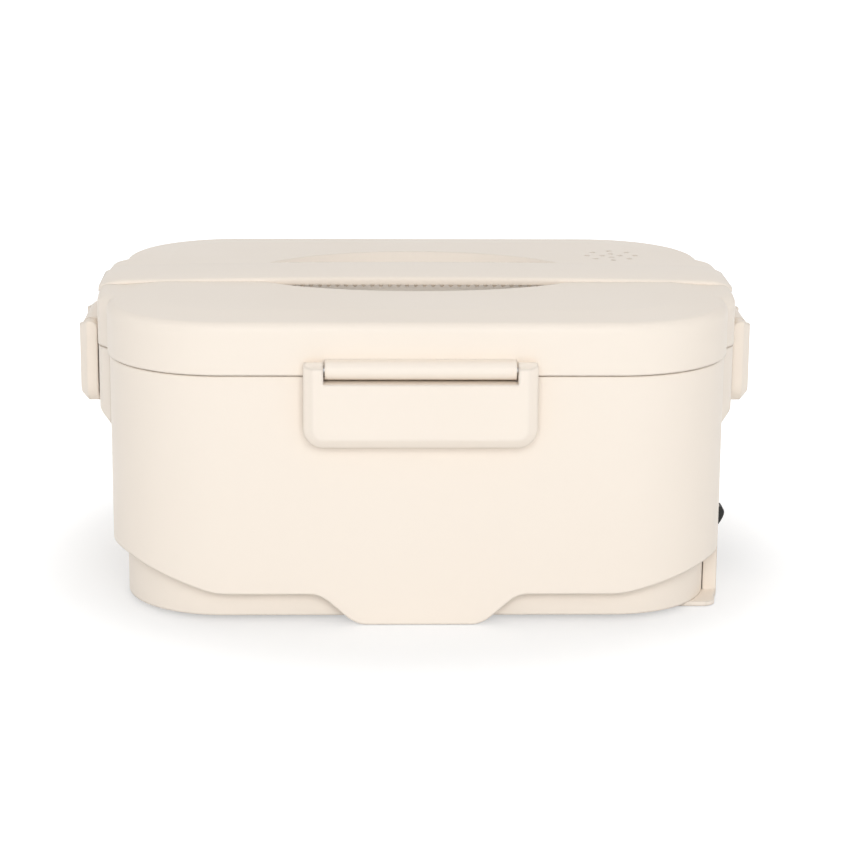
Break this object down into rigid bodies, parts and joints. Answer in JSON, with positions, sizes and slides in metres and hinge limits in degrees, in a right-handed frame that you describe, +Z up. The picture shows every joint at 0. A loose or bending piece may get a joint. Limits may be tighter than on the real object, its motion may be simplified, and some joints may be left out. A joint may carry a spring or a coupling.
{
  "type": "electric lunch box",
  "caption": "Portable electric lunch box with a lift-off lid, snap latches, a carry handle, a lift-out steel container and a covered side power socket.",
  "frame": {"origin": "middle of the box on its resting surface", "axes": "+Z up, front at -Y, socket end at +X"},
  "size_m": [0.2348, 0.1712, 0.1064],
  "materials": {
    "cream_plastic": "satin moulded",
    "pale_plastic": "satin moulded",
    "white_plastic": "satin moulded",
    "black_plastic": "moulded",
    "black_rubber": "moulded",
    "clear_silicone": "moulded",
    "red_silicone": "moulded",
    "aluminium": "cast and turned",
    "steel": "brushed",
    "brass": "plain",
    "wire_insulation": "extruded",
    "board": "laminate",
    "lens": "clear tinted",
    "ceramic": "glazed",
    "fibre": "felted"
  },
  "bodies": {
    "base": {"outer_shell": "cream_plastic", "inner_liner": "pale_plastic", "plate_gasket": "red_silicone", "heating_plate": "aluminium", "plate_screws": "steel", "heating_elements": "aluminium", "element_clamps": "steel", "clamp_screws": "steel", "thermostat": "black_plastic", "thermal_fuse": "ceramic", "fuse_clip": "steel", "internal_wiring": "wire_insulation", "insulating_mat": "fibre", "power_socket": "black_plastic", "socket_pins": "brass", "indicator_lens": "lens", "indicator_board": "board", "base_cover": "cream_plastic", "base_screws": "steel", "rubber_feet": "black_rubber"},
    "socket_cover": {"socket_cover": "black_rubber"},
    "container": {"food_container": "steel"},
    "tray": {"side_dish_tray": "white_plastic"},
    "lid": {"lid_shell": "cream_plastic", "lid_inner_panel": "pale_plastic", "lid_gasket": "clear_silicone", "steam_valve": "clear_silicone", "carry_handle": "cream_plastic", "handle_screws": "steel", "front_hinge_pin": "steel", "rear_hinge_pin": "steel", "left_hinge_pin": "steel", "right_hinge_pin": "steel"},
    "front_latch": {"front_latch": "cream_plastic"},
    "rear_latch": {"rear_latch": "cream_plastic"},
    "left_latch": {"left_latch": "cream_plastic"},
    "right_latch": {"right_latch": "cream_plastic"}
  },
  "joints": [
    {"name": "container_lift", "type": "slide", "parent": "base", "child": "container", "axis": [0, 0, 1], "range_m": [0, 0.07]},
    {"name": "tray_lift", "type": "slide", "parent": "container", "child": "tray", "axis": [0, 0, 1], "range_m": [0, 0.06]},
    {"name": "lid_lift", "type": "slide", "parent": "tray", "child": "lid", "axis": [0, 0, 1], "range_m": [0, 0.12]},
    {"name": "front_latch_hinge", "type": "hinge", "parent": "lid", "child": "front_latch", "pos_m": [0, -0.0813, 0.0886], "axis": [-1, 0, 0], "range_deg": [0, 100]},
    {"name": "rear_latch_hinge", "type": "hinge", "parent": "lid", "child": "rear_latch", "pos_m": [0, 0.0813, 0.0886], "axis": [1, 0, 0], "range_deg": [0, 100]},
    {"name": "left_latch_hinge", "type": "hinge", "parent": "lid", "child": "left_latch", "pos_m": [-0.1137, 0, 0.0886], "axis": [0, 1, 0], "range_deg": [0, 100]},
    {"name": "right_latch_hinge", "type": "hinge", "parent": "lid", "child": "right_latch", "pos_m": [0.1137, 0, 0.0886], "axis": [0, -1, 0], "range_deg": [0, 100]},
    {"name": "socket_cover_hinge", "type": "hinge", "parent": "base", "child": "socket_cover", "pos_m": [0.1062, 0, 0.0266], "axis": [0, -1, 0], "range_deg": [0, 100]}
  ]
}
